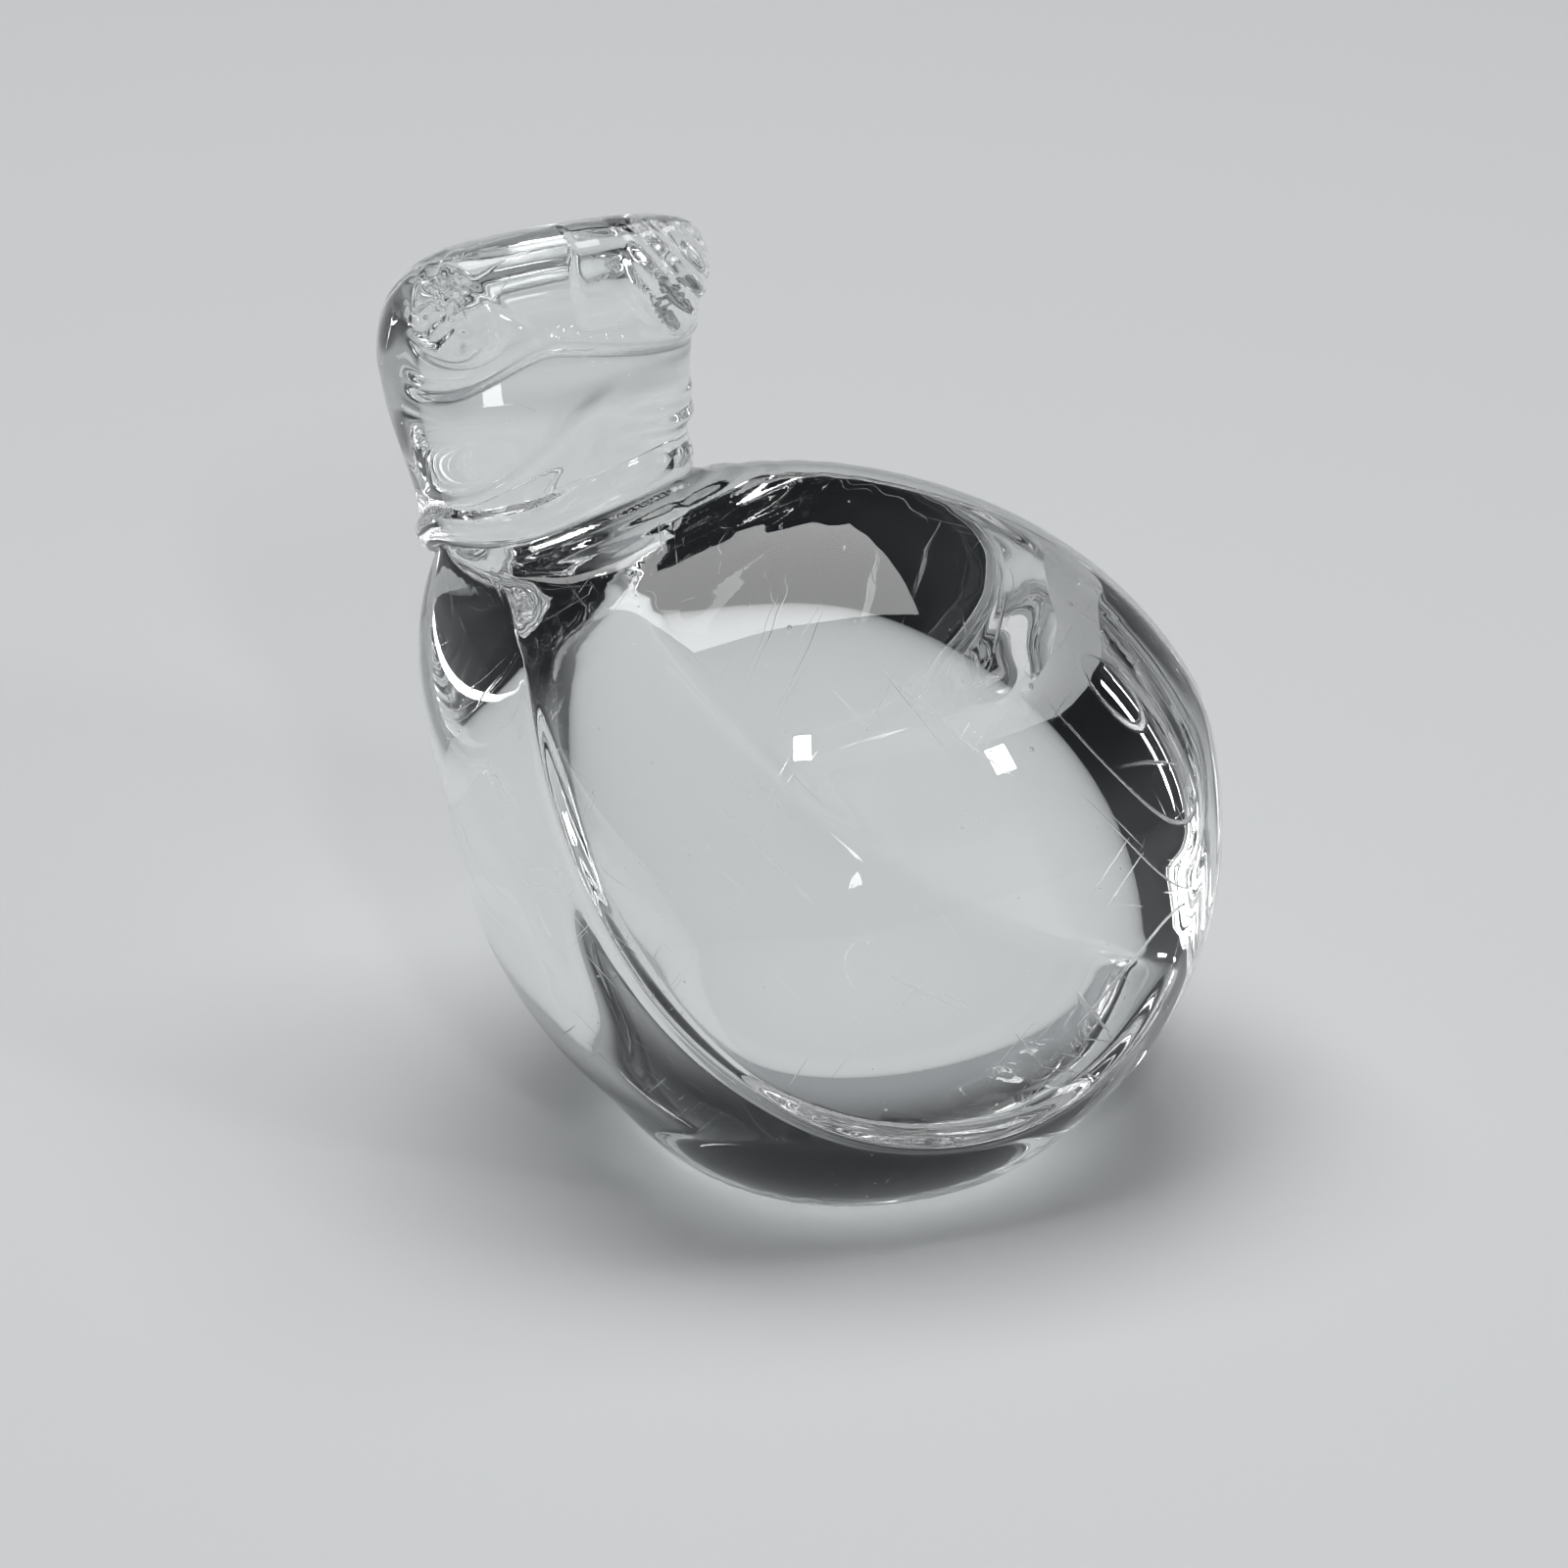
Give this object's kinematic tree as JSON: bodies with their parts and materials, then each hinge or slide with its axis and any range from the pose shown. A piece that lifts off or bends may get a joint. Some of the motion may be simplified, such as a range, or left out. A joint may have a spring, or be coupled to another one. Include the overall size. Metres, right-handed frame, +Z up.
{
  "type": "glass cat paperweight",
  "caption": "Solid clear crystal cat paperweight with a round egg-shaped body, ground base, thick neck and block head turned to one side with pinched ears.",
  "frame": {"origin": "centre of the ground base face that the paperweight rests on", "axes": "+Z up, away from the base; the chest faces -X and the head is turned to look towards +Y"},
  "size_m": [0.078, 0.064, 0.0907],
  "materials": {
    "crystal": "polished, with fine scratches from handling"
  },
  "bodies": {
    "root": {"body": "crystal", "neck_collar": "crystal", "head": "crystal", "ear_left": "crystal", "ear_right": "crystal"}
  },
  "joints": []
}
